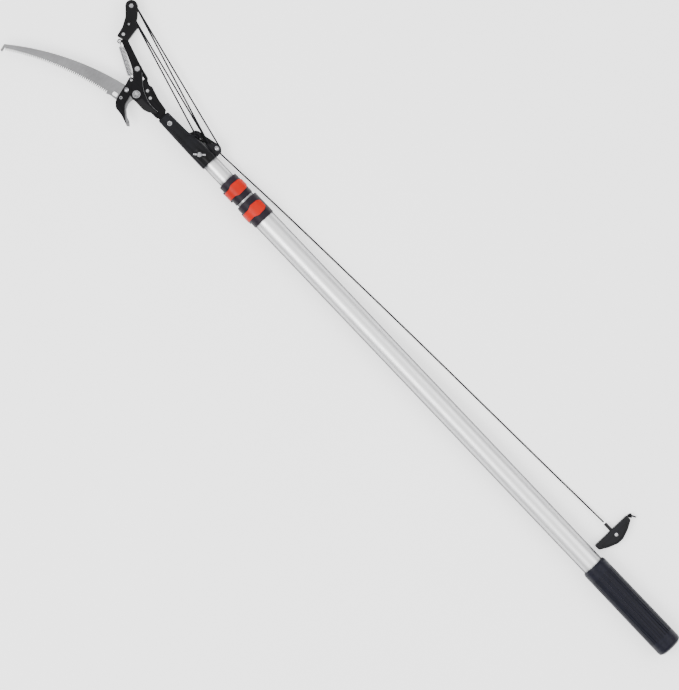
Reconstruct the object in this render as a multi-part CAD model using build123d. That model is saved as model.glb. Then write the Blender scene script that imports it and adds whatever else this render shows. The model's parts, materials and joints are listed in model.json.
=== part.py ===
from build123d import *
import math
import os

# Telescoping pole saw with a rope-driven bypass lopper head, lying flat.
# Millimetres. While modelling, X runs along the pole towards the head, Y towards
# the saw side, Z up, and the pole's axis is Y = 0, Z = 0. The lopper's main bolt
# stands at X = 0. At the end everything is shifted so that the object rests on Z = 0.

# ---- poles -----------------------------------------------------------------
WALL = 1.2
OUTER_R = 19.0
MIDDLE_R = 16.5
INNER_R = 14.0
OUTER_ENDS = (-1280.0, -258.0)
MIDDLE_ENDS = (-1262.0, -212.0)
INNER_ENDS = (-1240.0, -132.0)
SLIDE_GAP = 0.05            # running clearance of the sliding fits
BUSH_LENGTH = 16.0
GRIP_ENDS = (-1287.0, -1098.0)
GRIP_R = 23.0
GRIP_RIBS = 28
FLOOR_Z = -GRIP_R

# ---- clamps ----------------------------------------------------------------
UPPER_CLAMP_X = (-251.0, -209.0)
UPPER_CLAMP_R = 18.0
LOWER_CLAMP_X = (-299.0, -255.0)
LOWER_CLAMP_R = 20.6
LEVER_THICKNESS = 1.9
LEVER_LENGTH = 22.0
LEVER_NECK = 15.0
KNUCKLE_R = 2.1
LEVER_PIN_R = 1.0
CLAMP_SLIT = 2.4

# ---- head layers, heights above the pole's axis --------------------------------
PLATE_IN = 0.9
PLATE_OUT = 3.4
BLADE_Z = (3.5, 6.5)
ARM_Z = (-7.0, -4.0)
HOUSING_Z = (-13.5, 2.5)
POCKET_Z = (-10.7, -0.3)
ROPE_R = 1.4
FRONT_ROPE_Z = -2.9
REAR_ROPE_Z = -8.1
ROPE_MID_Z = (FRONT_ROPE_Z + REAR_ROPE_Z) / 2
TURN_PIN_R = 1.0
SHEAVE_HALF = 2.3
GROOVE_ROOM = 0.45

# ---- head pivots and holes (X, Y) ----------------------------------------------
MAIN_BOLT = (0.0, 10.8)
DRIVE_BOLT = (30.0, -19.5)
ARM_PIVOT = (2.84, -2.91)
SLOT_REACH = (28.6, 31.8)   # arm pivot to drive bolt, nearest and farthest
HEAD_SHEAVE = (113.5, -85.0)
HOUSING_SCREW = (94.5, -61.0)
HOUSING_BOLT = (88.3, -42.5)
SPRING_EYE = (85.0, -30.0)
SPRING_EAR = (23.5, 0.5)
SAW_BOLT = (17.0, 17.5)
SAW_SCREW = (14.0, 33.5)
FRAME_RIVETS = [(-8.3, -6.7), (-20.3, -1.7)]
HEAD_SHEAVE_R = 8.3
HEAD_PITCH_R = 6.5
ADAPTER_BOLT = (-74.0, 4.2)
WING_BOLT = (-147.0, 4.0)
EXIT_SHEAVE = (-158.0, -23.5)
EXIT_SHEAVE_R = 7.6
EXIT_PITCH_R = 6.0
TURN_PIN = (-145.5, -18.7)
KNOT = (-118.5, -14.5, 5.2)

# ---- adapter socket -------------------------------------------------------------
BLOCK_HALF = 10.5           # half heights of the flat front block and the deeper rear
REAR_HALF = 16.0
SHOULDER_X = (-104.0, -136.0)
SLEEVE_LENGTH = 31.5
SLEEVE_R = 16.5
BRACKET_Z = (-13.5, -10.7)
CHEEK_Z = (-1.2, 5.0)
GROOVE_YS = (-2.5, 0.0, 7.8, 9.8, 12.6)
GROOVE_WIDTH = 0.9
GROOVE_DEPTH = 0.7

# ---- saw and blade fasteners ----------------------------------------------------
TOOTH_COUNT = 55
TOOTH_DEPTH = 5.2
GULLET = (0.36, 0.64)       # where the gap's bottom lies between two tips
SAW_HALF = 0.7
BEVEL_WIDTH = 1.1
BEVEL_DEPTH = 1.0
WASHER_TOP = 7.6

# ---- return spring --------------------------------------------------------------
SPRING_Z = -11.2
SPRING_COIL_R = 4.2
SPRING_WIRE_R = 0.8
SPRING_TURNS = 22
SPRING_HOOK = 9.0

# ---- pull cord and handle -------------------------------------------------------
HANDLE_HUB = (-1082.0, -62.0, FLOOR_Z + 7.5)
HANDLE_HALF = 37.0
HANDLE_HEIGHT = 15.0
HANDLE_ROUND = 2.4
HANDLE_RECESS = 4.0
HANDLE_RIBS = 11
CORD_POINTS = [
    (-170.0, -23.0, REAR_ROPE_Z),
    (-222.0, -26.2, -14.0),
    (-290.0, -31.0, -20.0),
    (-410.0, -37.0, -21.4),
    (-620.0, -46.6, -21.5),
    (-830.0, -54.2, -21.5),
    (-950.0, -58.6, -21.4),
    (-1010.0, -61.2, -19.4),
    (-1059.0, -63.0, HANDLE_HUB[2]),
]

PARTS = {}


def disc(centre, radius, low, high):
    """A round bar standing along Z."""
    x, y = centre[0], centre[1]
    return Pos(x, y, (low + high) / 2) * Cylinder(radius, high - low)


def bar_x(radius, start, end, y=0.0, z=0.0):
    """A round bar lying along X."""
    return Pos((start + end) / 2, y, z) * Rot(0, 90, 0) * Cylinder(radius, end - start)


def tube_x(outer, bore, start, end):
    return bar_x(outer, start, end) - bar_x(bore, start - 1, end + 1)


def outline(corners):
    """A flat face from corners (x, y, corner radius)."""
    points = [(x, y) for x, y, _ in corners]
    radii = [r for _, _, r in corners]
    return make_face(FilletPolyline(*points, radius=radii, close=True).edges())


def plate(corners, low, high):
    return Pos(0, 0, low) * extrude(outline(corners), high - low)


def hex_nut(centre, across_flats, low, high, turn=0.0):
    """A hexagon whose upper corners are turned off at 30 degrees."""
    corner_r = across_flats / math.sqrt(3)
    round_part = disc(centre, corner_r + 0.01, low, high)
    rim = round_part.edges().filter_by(GeomType.CIRCLE).sort_by(Axis.Z)[-1]
    inward = 0.6 * (corner_r - across_flats / 2) + 0.5
    return hex_bar(centre, across_flats, low, high, turn) & chamfer(rim, inward, 0.5)


def studded(centre, radius, low, high, bevel=0.4):
    """A round bar with a bevelled upper end."""
    bar = disc(centre, radius, low, high)
    return chamfer(bar.edges().filter_by(GeomType.CIRCLE).sort_by(Axis.Z)[-1], bevel)


def hex_bar(centre, across_flats, low, high, turn=0.0):
    sketch = RegularPolygon(across_flats / 2, 6, major_radius=False, rotation=turn)
    return Pos(centre[0], centre[1], low) * extrude(sketch, high - low)


def round_tube(points, radii, radius):
    """A round rope or wire along straight runs joined by tangent arcs."""
    path = FilletPolyline(*points, radius=radii)
    start = Plane(path @ 0, z_dir=path % 0)
    return sweep(start * Circle(radius), path=path.wire()), path.length


def joined(*shapes):
    result = shapes[0]
    for shape in shapes[1:]:
        result = result + shape
    return result


def toward(start, end):
    length = math.dist(start, end)
    return [(b - a) / length for a, b in zip(start, end)]


# ---- telescoping tubes ------------------------------------------------------------
PARTS["outer_tube"] = tube_x(OUTER_R, OUTER_R - WALL, *OUTER_ENDS)
PARTS["middle_tube"] = tube_x(MIDDLE_R, MIDDLE_R - WALL, *MIDDLE_ENDS)
PARTS["inner_tube"] = tube_x(INNER_R, INNER_R - WALL, *INNER_ENDS)
PARTS["lower_guide_bush"] = tube_x(
    OUTER_R - WALL, MIDDLE_R + SLIDE_GAP, OUTER_ENDS[1] - BUSH_LENGTH, OUTER_ENDS[1]
)
PARTS["upper_guide_bush"] = tube_x(
    MIDDLE_R - WALL, INNER_R + SLIDE_GAP, MIDDLE_ENDS[1] - BUSH_LENGTH, MIDDLE_ENDS[1]
)
PARTS["middle_end_bush"] = tube_x(
    OUTER_R - WALL - SLIDE_GAP, MIDDLE_R, MIDDLE_ENDS[0], MIDDLE_ENDS[0] + BUSH_LENGTH
)
PARTS["inner_end_bush"] = tube_x(
    MIDDLE_R - WALL - SLIDE_GAP, INNER_R, INNER_ENDS[0], INNER_ENDS[0] + BUSH_LENGTH
)

# ---- rubber grip: smooth bands at both ends, lengthwise ribs between ------------------
grip_profile = Polyline(
    (GRIP_ENDS[0], 0),
    (GRIP_ENDS[0], 17),
    (GRIP_ENDS[0] + 3, 22),
    (GRIP_ENDS[0] + 7, GRIP_R),
    (GRIP_ENDS[0] + 22, GRIP_R),
    (GRIP_ENDS[1] - 4, GRIP_R - 0.5),
    (GRIP_ENDS[1], GRIP_R - 2.0),
    (GRIP_ENDS[1], 0),
    close=True,
)
grip = revolve(make_face(grip_profile), axis=Axis.X)
grip = grip - bar_x(OUTER_R, OUTER_ENDS[0], GRIP_ENDS[1] + 1)
groove_length = GRIP_ENDS[1] - GRIP_ENDS[0] - 44.0
groove_middle = (GRIP_ENDS[1] + GRIP_ENDS[0]) / 2 + 2.0
grip_groove = Pos(groove_middle, 0, GRIP_R) * Box(groove_length, 1.6, 2.0)
grooves = [Rot(360.0 * (n + 0.5) / GRIP_RIBS, 0, 0) * grip_groove for n in range(GRIP_RIBS)]
PARTS["rubber_grip"] = grip - grooves


# ---- lever clamps -------------------------------------------------------------------
def clamp(prefix, span, radius, mouth_r, body_r, stop, start_deg, end_deg, ear_low):
    """A split collar with a wrap-over lever. Angles are about the pole from +Y to +Z."""
    back, front = span
    mid = (back + front) / 2
    collar = bar_x(radius, back, front)
    collar = chamfer(collar.edges().filter_by(GeomType.CIRCLE), 0.8)
    hinge_r = body_r + 0.25 + KNUCKLE_R
    hinge_y = hinge_r * math.cos(math.radians(start_deg))
    hinge_z = hinge_r * math.sin(math.radians(start_deg))
    for side in (-1, 1):
        lug_x = mid + side * (LEVER_NECK / 2 + 2.0)
        collar = collar + bar_x(KNUCKLE_R, lug_x - 1.6, lug_x + 1.6, hinge_y, hinge_z)
    ear_height = -body_r - ear_low
    ear = Box(front - back - 10.0, 16.0, ear_height)
    ear = fillet(ear.edges().filter_by(Axis.Z), 3.0)
    collar = collar + Pos(mid, 0, ear_low + ear_height / 2) * ear
    collar = collar - bar_x(body_r, back - 1, stop)
    collar = collar - bar_x(mouth_r, stop - 1, front + 1)
    collar = collar - Pos(mid, 0, -radius - 4) * Box(front - back + 2, CLAMP_SLIT, 16)
    knuckle_room = bar_x(
        KNUCKLE_R + 0.35, mid - LEVER_NECK / 2 - 0.35, mid + LEVER_NECK / 2 + 0.35, hinge_y, hinge_z
    )
    collar = collar - knuckle_room
    pin_half = LEVER_NECK / 2 + 3.6
    collar = collar - bar_x(LEVER_PIN_R, mid - pin_half, mid + pin_half, hinge_y, hinge_z)
    screw_z = (ear_low - body_r) / 2
    screw_r = 1.25
    collar = collar - Pos(mid, 0, screw_z) * Rot(90, 0, 0) * Cylinder(screw_r, 18.0)
    PARTS[prefix + "_clamp_collar"] = collar
    PARTS[prefix + "_clamp_pin"] = bar_x(LEVER_PIN_R, mid - pin_half, mid + pin_half, hinge_y, hinge_z)
    screw = Pos(mid, 0, screw_z) * Rot(90, 0, 0) * Cylinder(screw_r, 17.0)
    screw_head = Pos(mid, 8.9, screw_z) * Rot(90, 0, 0) * Cylinder(2.0, 1.8)
    PARTS[prefix + "_clamp_screw"] = screw + screw_head

    inner = radius + 0.35
    outer = inner + LEVER_THICKNESS
    shell = bar_x(outer, mid - 15, mid + 15) - bar_x(inner, mid - 16, mid + 16)
    tip_y = outer * math.cos(math.radians(end_deg))
    half = LEVER_LENGTH / 2
    neck = LEVER_NECK / 2
    over = outer + 3
    front_shape = plate(
        [
            (mid - neck, over, 0),
            (mid - neck, 9, 5),
            (mid - half, 1, 6),
            (mid - half + 1, tip_y + 5, 6),
            (mid - half + 4, tip_y, 4),
            (mid + half - 4, tip_y, 4),
            (mid + half - 1, tip_y + 5, 6),
            (mid + half, 1, 6),
            (mid + neck, 9, 5),
            (mid + neck, over, 0),
        ],
        0,
        over,
    )
    below = Pos(mid, over / 2, -over / 2) * Box(LEVER_NECK, over, over)
    lever = shell & (front_shape + below)
    start = math.radians(start_deg)
    hinge_cut = Plane((mid, 0, 0), x_dir=(1, 0, 0), z_dir=(0, -math.sin(start), math.cos(start)))
    lever = lever - hinge_cut * Pos(0, 0, -over) * Box(40, 4 * over, 2 * over)
    knuckle = bar_x(KNUCKLE_R, mid - LEVER_NECK / 2, mid + LEVER_NECK / 2, hinge_y, hinge_z)
    web_angle = math.radians(start_deg + 3)
    web_r = (hinge_r + outer) / 2
    web = Pos(mid, web_r * math.cos(web_angle), web_r * math.sin(web_angle)) * Rot(start_deg, 0, 0) * Box(
        LEVER_NECK, outer - hinge_r + 0.6, 3.0
    )
    lever = lever + web - bar_x(inner, mid - 20, mid + 20)
    lever = lever + knuckle - bar_x(LEVER_PIN_R + SLIDE_GAP, mid - 20, mid + 20, hinge_y, hinge_z)
    PARTS[prefix + "_clamp_lever"] = lever
    return hinge_y, hinge_z


UPPER_HINGE = clamp(
    "upper", UPPER_CLAMP_X, UPPER_CLAMP_R, INNER_R + 0.3, MIDDLE_R, MIDDLE_ENDS[1], -15.0, 163.0, -21.5
)
LOWER_HINGE = clamp(
    "lower", LOWER_CLAMP_X, LOWER_CLAMP_R, MIDDLE_R + 0.3, OUTER_R, OUTER_ENDS[1], -20.0, 140.0, FLOOR_Z
)

# ---- adapter socket: flat front block, deeper rear body, side pulley bracket ---------
block = plate([(-57, -7, 3), (-57, 15, 3), (-106, 16.0, 0), (-106, -8.5, 0)], -BLOCK_HALF, BLOCK_HALF)
rounded = block.edges().filter_by(Plane.XY).filter_by(lambda e: e.center().X > SHOULDER_X[0])
block = fillet(rounded, 3.0)


def body_section(x, low_y, high_y, half_height, corner):
    """A rounded rectangle across the adapter's body at X."""
    section = Plane(origin=(x, (low_y + high_y) / 2, 0), x_dir=(0, 1, 0), z_dir=(-1, 0, 0))
    return section * RectangleRounded(high_y - low_y, 2 * half_height, corner)


shoulder_start = body_section(SHOULDER_X[0], -8.5, 16.0, BLOCK_HALF, 3.0)
shoulder_end = body_section(SHOULDER_X[1], -13.0, 16.5, REAR_HALF, 6.0)
shoulder = loft([shoulder_start, shoulder_end])
rear = extrude(shoulder_end, SLEEVE_LENGTH)
sleeve = bar_x(SLEEVE_R, SHOULDER_X[1] - SLEEVE_LENGTH, SHOULDER_X[1])
base_plate = plate(
    [
        (-106.5, -5, 0),
        (-106.5, -9.5, 2),
        (-111, -19.5, 4),
        (-115, -22.5, 4),
        (-125, -24, 8),
        (-148, -29.5, 10),
        (-160, -31.5, 6),
        (-167.5, -25.5, 5),
        (-167.5, -5, 0),
    ],
    *BRACKET_Z,
)
front_cheek = plate(
    [(-130, -5, 2), (-151, -29, 4), (-160, -31.5, 6), (-167.5, -25.5, 5), (-167.5, -5, 0)], *CHEEK_Z
)
knot_step = plate(
    [(-107.5, -5, 0), (-109, -15, 3), (-114, -20.5, 4), (-131, -18.5, 3), (-131, -5, 0)], -11.0, -3.4
)
adapter = joined(block, shoulder, rear, sleeve, base_plate, front_cheek, knot_step)
adapter = adapter + disc(EXIT_SHEAVE, 4.0, -5.6, -1.0) + disc(WING_BOLT, 5.2, 10, 20)
turn_direction = toward(HEAD_SHEAVE, TURN_PIN)
turn_angle = math.degrees(math.atan2(turn_direction[1], turn_direction[0]))
turn_block = Pos(TURN_PIN[0], TURN_PIN[1], ROPE_MID_Z) * Rot(0, 0, turn_angle) * Rot(-90, 0, 0)
adapter = adapter - Pos(-76, 4, 0) * Box(50, 40, 2 * PLATE_OUT + 0.1)
adapter = adapter - bar_x(INNER_R, -168, INNER_ENDS[1]) - bar_x(INNER_R - WALL, -140, -128)
adapter = adapter - disc(ADAPTER_BOLT, 2.5, -20, 20)
adapter = adapter - disc(WING_BOLT, 2.5 + SLIDE_GAP, 0, 30)
adapter = adapter - disc(EXIT_SHEAVE, 2.5, -20, 9)
adapter = adapter - disc((-127, -16.5), 1.75, -20, 0)


def groove(y, start, end):
    """A shallow groove along the body's front between two points (X, Z)."""
    run = math.dist(start, end)
    tilt = math.degrees(math.atan2(end[1] - start[1], start[0] - end[0]))
    middle = Pos((start[0] + end[0]) / 2, y, (start[1] + end[1]) / 2)
    return middle * Rot(0, tilt, 0) * Box(run + 0.2, GROOVE_WIDTH, 2 * GROOVE_DEPTH)


groove_line = [
    (-60, BLOCK_HALF),
    (SHOULDER_X[0], BLOCK_HALF),
    (SHOULDER_X[1], REAR_HALF),
    (-170, REAR_HALF),
]
for groove_y in GROOVE_YS:
    for start, end in zip(groove_line, groove_line[1:]):
        adapter = adapter - groove(groove_y, start, end)
adapter = adapter - turn_block * Pos(0, 0, -1.5) * Cylinder(TURN_PIN_R, 6.0)
PARTS["adapter_socket"] = adapter
turning_pin = Pos(0, 0, 0.8) * Cylinder(TURN_PIN_R, 10.4) + Pos(0, 0, 5.4) * Cylinder(1.9, 0.9)
PARTS["turning_pin"] = turn_block * turning_pin
adapter_head = hex_nut(ADAPTER_BOLT, 8.0, BLOCK_HALF, 14.0, 15) - disc(ADAPTER_BOLT, 2.2, 13.2, 15)
adapter_bolt = disc(ADAPTER_BOLT, 2.5, -15.5, BLOCK_HALF) + adapter_head
PARTS["adapter_bolt"] = adapter_bolt
PARTS["adapter_nut"] = hex_bar(ADAPTER_BOLT, 8.0, -14.5, -10.5) - disc(ADAPTER_BOLT, 2.5, -20, 20)

# ---- wing bolt --------------------------------------------------------------------
wing_shape = plate(
    [(-3.5, 0, 0), (-11, 6, 3), (-9, 12, 3), (0, 6.5, 3), (9, 12, 3), (11, 6, 3), (3.5, 0, 0)], -1.3, 1.3
)
wing_turn = math.degrees(math.atan2(-13.0, -14.0))
wing = disc(WING_BOLT, 2.5, 14.3, 22) + disc(WING_BOLT, 4.0, 20.2, 27.5)
wing = wing + Pos(WING_BOLT[0], WING_BOLT[1], 20.6) * Rot(0, 0, wing_turn) * Rot(90, 0, 0) * wing_shape
PARTS["wing_bolt"] = wing


# ---- exit sheave ---------------------------------------------------------------------
def sheave(centre, radius, pitch, bore, middle_z):
    """A grooved wheel whose rope centre runs at the pitch radius."""
    room = ROPE_R + GROOVE_ROOM
    groove = Pos(centre[0], centre[1], middle_z) * Torus(pitch, room)
    rim_gap = disc(centre, radius + 1, middle_z - room, middle_z + room)
    rim_gap = rim_gap - disc(centre, pitch, middle_z - 3, middle_z + 3)
    wheel = disc(centre, radius, middle_z - SHEAVE_HALF, middle_z + SHEAVE_HALF)
    return wheel - groove - rim_gap - disc(centre, bore, middle_z - 5, middle_z + 5)


PARTS["exit_sheave"] = sheave(EXIT_SHEAVE, EXIT_SHEAVE_R, EXIT_PITCH_R, 2.5 + SLIDE_GAP, REAR_ROPE_Z)
exit_dome = Pos(EXIT_SHEAVE[0], EXIT_SHEAVE[1], CHEEK_Z[1] - 3.1) * Sphere(5.7)
exit_dome = exit_dome & disc(EXIT_SHEAVE, 4.75, CHEEK_Z[1], CHEEK_Z[1] + 4)
PARTS["exit_sheave_pin"] = disc(EXIT_SHEAVE, 2.5, -14.6, CHEEK_Z[1] + 0.1) + exit_dome

# ---- lopper head plates --------------------------------------------------------------
hook_corners = [
    (26.5, -4.0, 3),
    (29.0, 0.5, 3),
    (25.0, 12.0, 30),
    (20.0, 32.0, 30),
    (16.5, 44.0, 12),
    (8.0, 51.5, 8),
    (-8.0, 53.0, 20),
    (-24.0, 58.3, 0.3),
    (-18.0, 54.6, 14),
    (-6.4, 45.4, 14),
    (1.6, 37.6, 12),
    (4.6, 26.5, 12),
    (7.5, 18.0, 3),
    (0.0, 16.5, 8),
    (-30.0, 15.2, 20),
    (-52.0, 14.2, 3),
    (-55.5, 11.0, 0),
    (-98.0, 11.0, 2),
    (-98.0, -2.5, 2),
    (-55.5, -2.5, 0),
    (-52.5, -7.2, 2),
    (-30.0, -10.5, 30),
    (-9.0, -17.0, 4),
    (-3.0, -15.5, 3),
    (4.5, -18.6, 1.5),
    (9.5, -17.2, 1),
    (9.5, -10.0, 4),
    (17.5, -3.0, 3),
]


def hook_plate(low, high):
    shape = plate(hook_corners, low, high)
    for centre, radius in (
        (MAIN_BOLT, 4.0),
        (ARM_PIVOT, 3.0),
        (SAW_BOLT, 3.0),
        (SAW_SCREW, 2.0),
        (SPRING_EAR, 1.9),
        (ADAPTER_BOLT, 2.5),
        (FRAME_RIVETS[0], 3.0),
        (FRAME_RIVETS[1], 3.0),
    ):
        shape = shape - disc(centre, radius, low - 1, high + 1)
    return shape


PARTS["front_hook_plate"] = hook_plate(PLATE_IN, PLATE_OUT)
PARTS["back_hook_plate"] = hook_plate(-PLATE_OUT, -PLATE_IN)

counter_blade = plate(
    [
        (-31.0, 56.0, 1),
        (-27.0, 59.3, 1.5),
        (-10.0, 53.0, 12),
        (3.0, 43.0, 12),
        (8.5, 30.0, 12),
        (9.5, 8.0, 8),
        (1.0, -4.0, 8),
        (-7.0, -15.5, 4),
        (-30.0, -9.0, 20),
        (-55.5, -2.5, 0),
        (-98.0, -2.5, 2),
        (-98.0, 11.0, 2),
        (-52.0, 12.5, 5),
        (-12.0, 14.0, 8),
        (-2.4, 20.0, 5),
        (-1.2, 30.5, 14),
        (-6.4, 40.6, 14),
        (-16.0, 48.2, 12),
        (-24.5, 50.6, 12),
    ],
    -PLATE_IN,
    PLATE_IN,
)
for centre, radius in (
    (MAIN_BOLT, 4.0),
    (ADAPTER_BOLT, 2.5),
    (FRAME_RIVETS[0], 3.0),
    (FRAME_RIVETS[1], 3.0),
):
    counter_blade = counter_blade - disc(centre, radius, -3, 3)
PARTS["counter_blade"] = counter_blade - disc(ARM_PIVOT, 3.0, -3, 3)

# ---- saw blade ------------------------------------------------------------------------
tooth_arc = ThreePointArc((36.5, 46.8), (120.0, 73.8), (207.0, 121.6))
back_arc = ThreePointArc((24.5, 13.5), (118.0, 49.0), (214.3, 113.2))
tooth_points = []
tooth_flanks = []
for n in range(TOOTH_COUNT):
    tip = tooth_arc @ (n / TOOTH_COUNT)
    tooth_points.append((tip.X, tip.Y))
    for share in GULLET:
        on_arc = tooth_arc @ ((n + share) / TOOTH_COUNT)
        along = tooth_arc % ((n + share) / TOOTH_COUNT)
        tooth_points.append((on_arc.X + along.Y * TOOTH_DEPTH, on_arc.Y - along.X * TOOTH_DEPTH))
    if n % 2:
        tooth_flanks.append((tooth_points[-3], tooth_points[-2], 1))
    elif n:
        tooth_flanks.append((tooth_points[-3], tooth_points[-4], -1))
saw_edge = Polyline(
    (9.5, 42.0),
    (17.0, 41.5),
    (30.0, 43.6),
    *tooth_points,
    (207.4, 123.0),
    (207.5, 124.5),
    (208.9, 125.3),
    (210.8, 124.8),
    (211.7, 123.6),
    (214.3, 113.2),
)
saw_root = Polyline((24.5, 13.5), (11.5, 10.0), (10.8, 30.0), (9.5, 42.0))
saw = extrude(make_face([*saw_edge.edges(), back_arc.edge(), *saw_root.edges()]), 2 * SAW_HALF)
saw = Pos(0, 0, -SAW_HALF) * saw


def flank_bevel(tip, root, side):
    """The wedge ground off the front of one tooth flank: side 1 faces the saw's tip."""
    flank = toward(tip, root)
    inward = (side * flank[1], -side * flank[0])
    start = (tip[0] - 0.6 * flank[0], tip[1] - 0.6 * flank[1], 0)
    section = Plane(origin=start, x_dir=(*inward, 0), z_dir=(*flank, 0))
    top = -side * (SAW_HALF + 0.05)
    bottom = -side * (SAW_HALF - BEVEL_DEPTH)
    wedge = Polyline((-0.05, bottom), (BEVEL_WIDTH, top), (-0.05, top), close=True)
    return extrude(section * make_face(wedge), math.dist(tip, root) + 0.6)


saw = saw - [flank_bevel(*flank) for flank in tooth_flanks]
saw = saw - Pos(25.5, 36.5, 0) * Rot(0, 0, 14) * fillet(Box(9.0, 6.4, 5).edges().filter_by(Axis.Z), 2.4)
PARTS["saw_blade"] = saw - disc(SAW_BOLT, 3.0, -3, 3) - disc(SAW_SCREW, 2.0, -3, 3)

# ---- head fasteners ----------------------------------------------------------------------
dome = (Pos(SAW_BOLT[0], SAW_BOLT[1], -0.4) * Sphere(5.9)) & disc(SAW_BOLT, 4.5, PLATE_OUT, 7)
PARTS["saw_carriage_bolt"] = disc(SAW_BOLT, 3.0, -8.6, PLATE_OUT + 0.1) + dome
socket_head = studded(SAW_SCREW, 2.7, PLATE_OUT, 5.6) - hex_bar(SAW_SCREW, 2.5, 4.0, 7)
PARTS["saw_socket_screw"] = disc(SAW_SCREW, 2.0, -7.6, 3.9) + socket_head
PARTS["saw_nuts"] = Compound(
    children=[
        hex_bar(SAW_BOLT, 9.0, -7.6, -PLATE_OUT) - disc(SAW_BOLT, 3.0, -20, 20),
        hex_bar(SAW_SCREW, 6.6, -6.6, -PLATE_OUT) - disc(SAW_SCREW, 2.0, -20, 20),
    ]
)
PARTS["frame_rivets"] = Compound(
    children=[studded(c, 3.0, -PLATE_OUT, PLATE_OUT, 0.35) for c in FRAME_RIVETS]
)
main_bolt = disc(MAIN_BOLT, 4.0, -PLATE_OUT - 0.2, BLADE_Z[1] + 0.1)
main_bolt = main_bolt + hex_bar(MAIN_BOLT, 9.6, -7.0, -PLATE_OUT)
PARTS["main_bolt"] = main_bolt + studded(MAIN_BOLT, 2.5, 0, 13.0, 0.6)
washer = studded(MAIN_BOLT, 6.6, BLADE_Z[1] + 0.1, WASHER_TOP, 0.3)
PARTS["main_washer"] = washer - disc(MAIN_BOLT, 2.5, 0, 20)
PARTS["main_nut"] = hex_nut(MAIN_BOLT, 8.0, WASHER_TOP, 11.8, 12) - disc(MAIN_BOLT, 2.5, 0, 20)
PARTS["arm_pivot_pin"] = disc(ARM_PIVOT, 3.0, -8.0, PLATE_OUT) + disc(ARM_PIVOT, 4.5, -9.4, -7.2)

# ---- cutting blade with its drive bolt --------------------------------------------------------
cutting_blade = plate(
    [
        (22.0, -22.0, 4),
        (10.0, -13.0, 30),
        (0.0, -5.0, 30),
        (-14.0, 2.2, 30),
        (-31.0, 6.4, 30),
        (-46.5, 4.4, 1),
        (-48.0, 7.5, 1),
        (-36.0, 17.2, 20),
        (-26.0, 20.8, 20),
        (-8.0, 20.3, 20),
        (-2.0, 21.0, 6),
        (7.0, 19.0, 3),
        (9.0, 12.5, 6),
        (24.0, -4.0, 4),
        (36.0, -14.0, 4),
        (34.0, -26.0, 4),
    ],
    *BLADE_Z,
)
cutting_blade = cutting_blade + disc(DRIVE_BOLT, 8.2, *BLADE_Z) + disc(MAIN_BOLT, 9.6, *BLADE_Z)
cutting_blade = cutting_blade - disc(MAIN_BOLT, 4.0 + SLIDE_GAP, 0, 10) - disc(DRIVE_BOLT, 2.5, 0, 10)
bevel_edge = [
    (-11.0, 9.0),
    (-9.0, 17.5),
    (-8.0, 24.0),
    (-60.0, 24.0),
    (-60.0, 14.0),
    (-44.0, 7.0),
    (-25.0, 9.0),
]
bevel = extrude(make_face(Polyline(*bevel_edge, close=True)), 4)
bevel_tilt = Pos(0, 12.0, BLADE_Z[1] - 0.9) * Rot(-8, 0, 0) * Pos(0, -12.0, 0)
PARTS["cutting_blade"] = cutting_blade - bevel_tilt * bevel
drive_bolt = disc(DRIVE_BOLT, 2.5, -8.0, BLADE_Z[1]) + disc(DRIVE_BOLT, 4.2, -9.6, -7.3)
PARTS["drive_bolt"] = drive_bolt + studded(DRIVE_BOLT, 2.0, 0, 10.8, 0.5)
drive_nut = disc(DRIVE_BOLT, 4.4, BLADE_Z[1], 7.3) + hex_nut(DRIVE_BOLT, 7.0, 7.3, 10.0, 20)
PARTS["drive_nut"] = drive_nut - disc(DRIVE_BOLT, 2.0, 0, 20)

# ---- lever arm and pulley housing ------------------------------------------------------------
housing_corners = [
    (103.0, -89.0, 4),
    (94.0, -80.0, 12),
    (88.0, -71.0, 6),
    (80.0, -68.0, 3),
    (78.5, -58.0, 10),
    (75.5, -40.5, 2),
    (83.0, -36.0, 5),
    (93.8, -32.8, 1.5),
    (98.5, -50.0, 12),
    (107.5, -65.5, 12),
    (122.5, -79.5, 6),
    (118.0, -92.0, 4),
    (110.0, -94.2, 3),
]
pull = toward(HEAD_SHEAVE, EXIT_SHEAVE)
pull_angle = math.degrees(math.atan2(pull[1], pull[0]))


def pocket(half_width, low, high):
    """The space round the head sheaves, open towards the rope side."""
    run = Pos(HEAD_SHEAVE[0], HEAD_SHEAVE[1], (low + high) / 2) * Rot(0, 0, pull_angle)
    mouth = outline([(0, -half_width, 0), (0, half_width, 0), (60, half_width, 0), (60, -half_width - 4, 0)])
    mouth = run * Pos(0, 0, (low - high) / 2) * extrude(mouth, high - low)
    return disc(HEAD_SHEAVE, half_width, low, high) + mouth


def housing_half(low, high):
    half = plate(housing_corners, low, high) + disc(HEAD_SHEAVE, 10.4, low, high)
    half = half - disc(HEAD_SHEAVE, 3.0, -20, 20) - disc(HOUSING_BOLT, 1.6, -20, 20)
    return half - disc(HOUSING_SCREW, 1.6, -20, 20)


front_half = housing_half(ARM_Z[1], HOUSING_Z[1]) - pocket(9.2, ARM_Z[1] - 1, POCKET_Z[1])
front_half = fillet(front_half.edges().group_by(Axis.Z)[-1].filter_by(lambda e: e.length > 5), 0.8)
PARTS["housing_front"] = front_half - disc(HOUSING_SCREW, 3.5, -1.6, 5) - disc(HOUSING_BOLT, 3.6, 1.0, 5)
PARTS["housing_back"] = housing_half(HOUSING_Z[0], ARM_Z[0]) - pocket(9.2, POCKET_Z[0], ARM_Z[0] + 1)

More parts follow.
